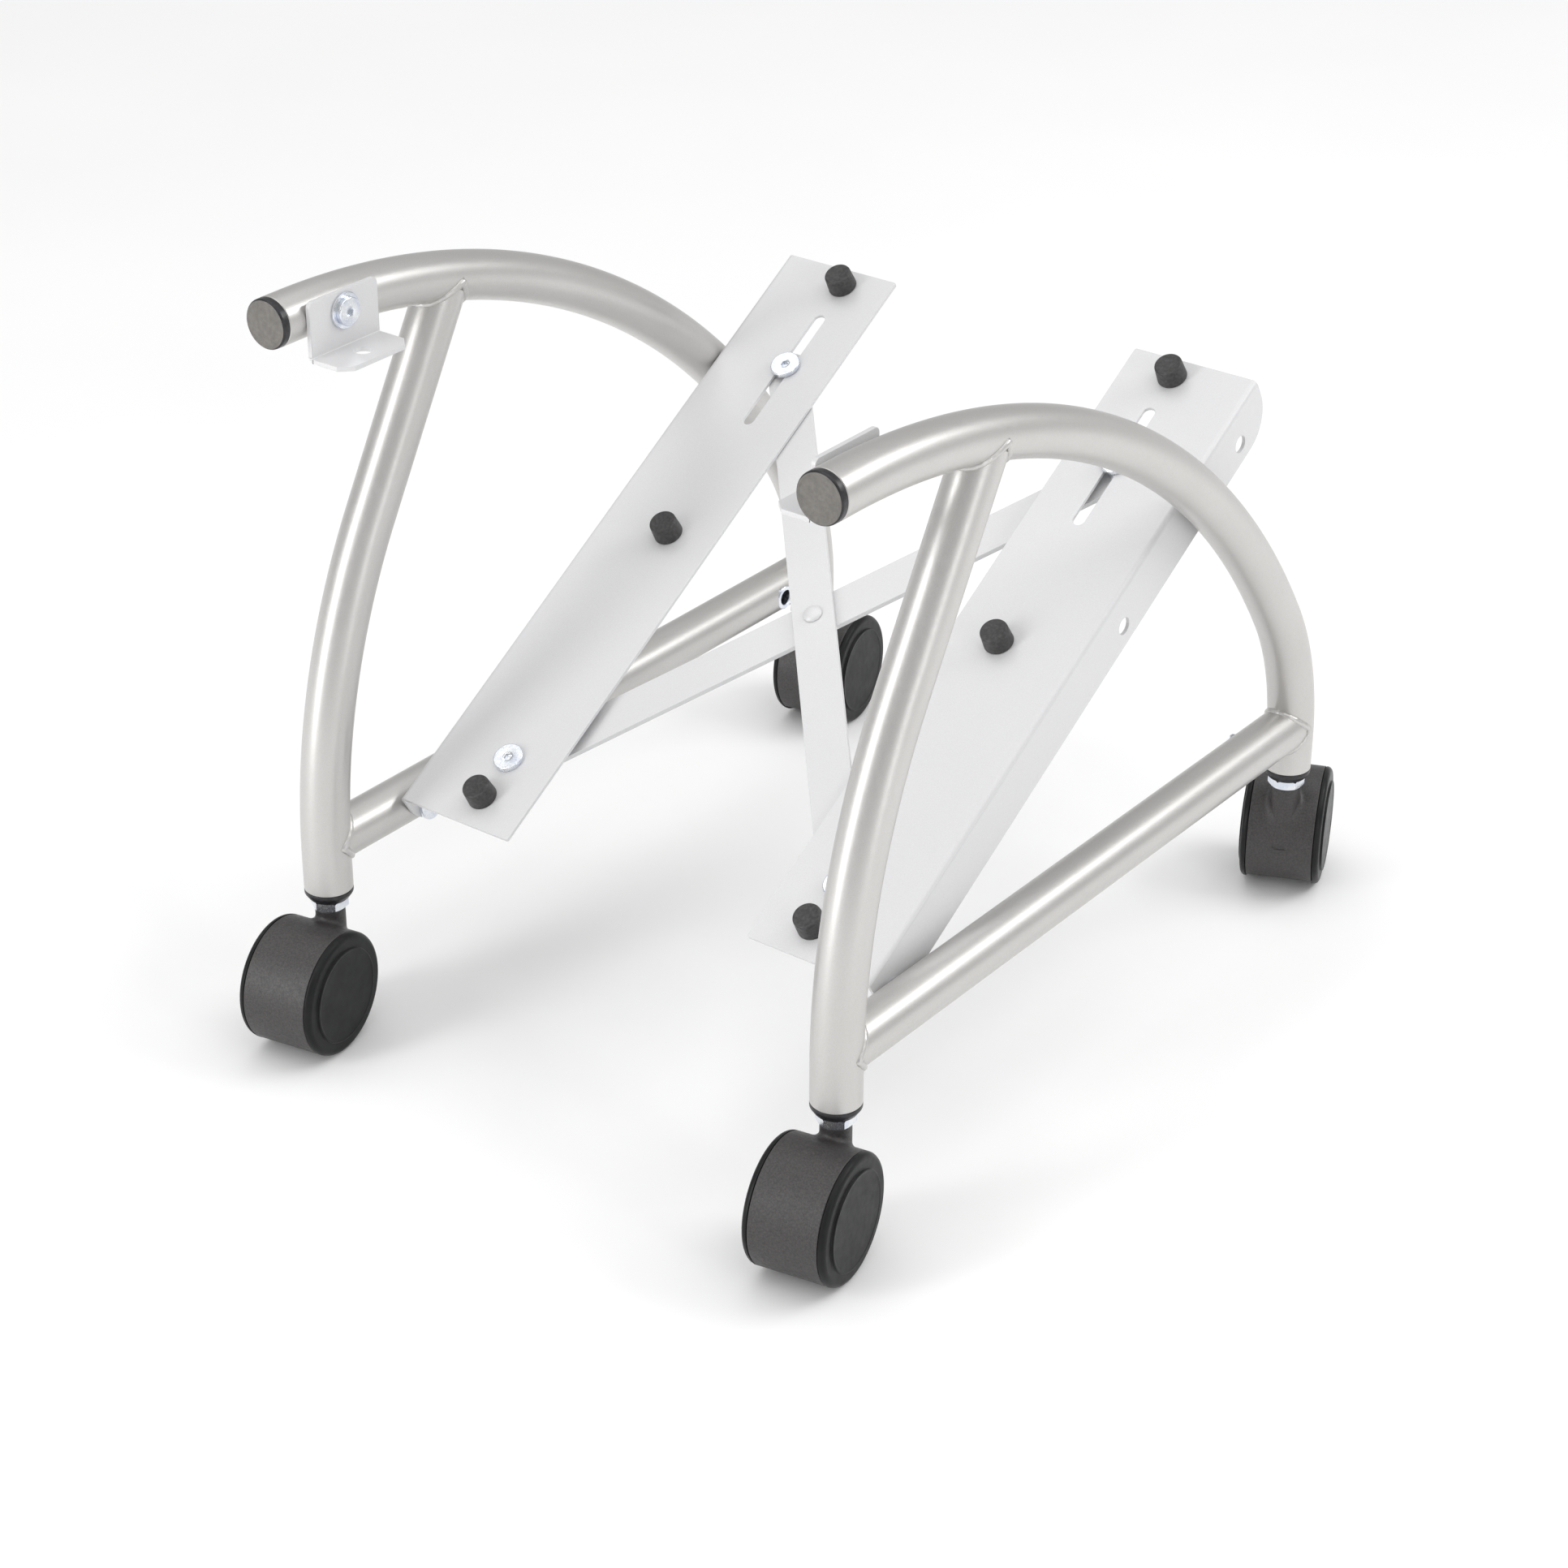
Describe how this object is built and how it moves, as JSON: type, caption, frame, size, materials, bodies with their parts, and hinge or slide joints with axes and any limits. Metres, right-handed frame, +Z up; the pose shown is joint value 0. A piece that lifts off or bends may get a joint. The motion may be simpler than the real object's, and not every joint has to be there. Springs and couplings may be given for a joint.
{
  "type": "wheeled support frame",
  "caption": "Wheeled under-frame with bent-tube sides, two tilted rails that carry rubber bumpers, a crossed brace that sets the width, and hooded twin-wheel castors.",
  "frame": {"origin": "on the floor under the middle of the frame", "axes": "+X across the frame to the right, +Y from the front, where the brackets are, to the rear, +Z up"},
  "size_m": [0.3814, 0.5237, 0.4],
  "materials": {
    "tube_paint": "satin silver powder coat",
    "sheet_paint": "smooth pale grey powder coat",
    "zinc_plate": "bright zinc plate, slightly blue",
    "bumper_rubber": "satin black rubber",
    "cap_plastic": "fine matt grey-brown face",
    "plug_plastic": "satin black moulding",
    "hood_plastic": "finely grained charcoal moulding",
    "wheel_plastic": "smooth black moulding"
  },
  "bodies": {
    "left_side": {"left_arch_tube": "tube_paint", "left_front_leg": "tube_paint", "left_base_tube": "tube_paint", "left_tube_cap": "cap_plastic", "left_leg_plugs": "plug_plastic", "left_stem_nuts": "zinc_plate", "left_thread_inserts": "zinc_plate", "left_rail": "sheet_paint", "left_bumpers": "bumper_rubber", "left_rail_bolts": "zinc_plate", "left_bracket": "sheet_paint", "left_bracket_bolt": "zinc_plate", "left_bracket_washer": "zinc_plate", "left_pivot_bolt": "zinc_plate", "left_pivot_nut": "zinc_plate", "left_pivot_spacer": "zinc_plate", "front_left_stem": "zinc_plate", "rear_left_stem": "zinc_plate"},
    "bar_b": {"scissor_bar_b": "sheet_paint", "scissor_rivet": "zinc_plate", "right_slot_bolt": "zinc_plate", "right_slot_nut": "zinc_plate", "right_slot_spacer": "zinc_plate"},
    "bar_a": {"scissor_bar_a": "sheet_paint", "left_slot_bolt": "zinc_plate", "left_slot_nut": "zinc_plate"},
    "right_side": {"right_arch_tube": "tube_paint", "right_front_leg": "tube_paint", "right_base_tube": "tube_paint", "right_tube_cap": "cap_plastic", "right_leg_plugs": "plug_plastic", "right_stem_nuts": "zinc_plate", "right_thread_inserts": "zinc_plate", "right_rail": "sheet_paint", "right_bumpers": "bumper_rubber", "right_rail_bolts": "zinc_plate", "right_bracket": "sheet_paint", "right_bracket_bolt": "zinc_plate", "right_bracket_washer": "zinc_plate", "right_pivot_bolt": "zinc_plate", "right_pivot_nut": "zinc_plate", "front_right_stem": "zinc_plate", "rear_right_stem": "zinc_plate"},
    "front_left_castor": {"front_left_hood": "hood_plastic", "front_left_axle": "zinc_plate"},
    "front_left_outer_wheel": {"front_left_outer_wheel": "wheel_plastic"},
    "front_left_inner_wheel": {"front_left_inner_wheel": "wheel_plastic"},
    "front_right_castor": {"front_right_hood": "hood_plastic", "front_right_axle": "zinc_plate"},
    "front_right_outer_wheel": {"front_right_outer_wheel": "wheel_plastic"},
    "front_right_inner_wheel": {"front_right_inner_wheel": "wheel_plastic"},
    "rear_left_castor": {"rear_left_hood": "hood_plastic", "rear_left_axle": "zinc_plate"},
    "rear_left_outer_wheel": {"rear_left_outer_wheel": "wheel_plastic"},
    "rear_left_inner_wheel": {"rear_left_inner_wheel": "wheel_plastic"},
    "rear_right_castor": {"rear_right_hood": "hood_plastic", "rear_right_axle": "zinc_plate"},
    "rear_right_outer_wheel": {"rear_right_outer_wheel": "wheel_plastic"},
    "rear_right_inner_wheel": {"rear_right_inner_wheel": "wheel_plastic"}
  },
  "joints": [
    {"name": "brace_fold", "type": "hinge", "parent": "left_side", "child": "bar_b", "pos_m": [-0.1039, -0.12305, 0.13135], "axis": [0, -0.515, 0.8572], "range_deg": [-9, 10]},
    {"name": "brace_cross", "type": "hinge", "parent": "bar_b", "child": "bar_a", "pos_m": [0, -0.00776, 0.20062], "axis": [0, -0.515, 0.8572], "range_deg": [-20.5, 18.5]},
    {"name": "right_pivot", "type": "hinge", "parent": "bar_a", "child": "right_side", "pos_m": [0.1039, -0.12305, 0.13135], "axis": [0, -0.515, 0.8572], "range_deg": [-9.5, 10.5]},
    {"name": "front_left_swivel", "type": "hinge", "parent": "left_side", "child": "front_left_castor", "pos_m": [-0.16, -0.204, 0.05], "axis": [0, 0, 1], "continuous": true},
    {"name": "front_left_outer_roll", "type": "hinge", "parent": "front_left_castor", "child": "front_left_outer_wheel", "pos_m": [-0.15609, -0.22616, 0.0325], "axis": [0.9848, 0.1736, 0], "continuous": true},
    {"name": "front_left_inner_roll", "type": "hinge", "parent": "front_left_castor", "child": "front_left_inner_wheel", "pos_m": [-0.15609, -0.22616, 0.0325], "axis": [0.9848, 0.1736, 0], "continuous": true},
    {"name": "front_right_swivel", "type": "hinge", "parent": "right_side", "child": "front_right_castor", "pos_m": [0.16, -0.204, 0.05], "axis": [0, 0, 1], "continuous": true},
    {"name": "front_right_outer_roll", "type": "hinge", "parent": "front_right_castor", "child": "front_right_outer_wheel", "pos_m": [0.16391, -0.22616, 0.0325], "axis": [0.9848, 0.1736, 0], "continuous": true},
    {"name": "front_right_inner_roll", "type": "hinge", "parent": "front_right_castor", "child": "front_right_inner_wheel", "pos_m": [0.16391, -0.22616, 0.0325], "axis": [0.9848, 0.1736, 0], "continuous": true},
    {"name": "rear_left_swivel", "type": "hinge", "parent": "left_side", "child": "rear_left_castor", "pos_m": [-0.16, 0.204, 0.05], "axis": [0, 0, 1], "continuous": true},
    {"name": "rear_left_outer_roll", "type": "hinge", "parent": "rear_left_castor", "child": "rear_left_outer_wheel", "pos_m": [-0.16391, 0.22616, 0.0325], "axis": [0.9848, 0.1736, 0], "continuous": true},
    {"name": "rear_left_inner_roll", "type": "hinge", "parent": "rear_left_castor", "child": "rear_left_inner_wheel", "pos_m": [-0.16391, 0.22616, 0.0325], "axis": [0.9848, 0.1736, 0], "continuous": true},
    {"name": "rear_right_swivel", "type": "hinge", "parent": "right_side", "child": "rear_right_castor", "pos_m": [0.16, 0.204, 0.05], "axis": [0, 0, 1], "continuous": true},
    {"name": "rear_right_outer_roll", "type": "hinge", "parent": "rear_right_castor", "child": "rear_right_outer_wheel", "pos_m": [0.15121, 0.22471, 0.0325], "axis": [0.9205, 0.3907, 0], "continuous": true},
    {"name": "rear_right_inner_roll", "type": "hinge", "parent": "rear_right_castor", "child": "rear_right_inner_wheel", "pos_m": [0.15121, 0.22471, 0.0325], "axis": [0.9205, 0.3907, 0], "continuous": true}
  ],
  "couplings": [
    {"joint": "brace_cross", "follows": "brace_fold", "ratio": -2},
    {"joint": "right_pivot", "follows": "brace_fold", "ratio": 1}
  ]
}
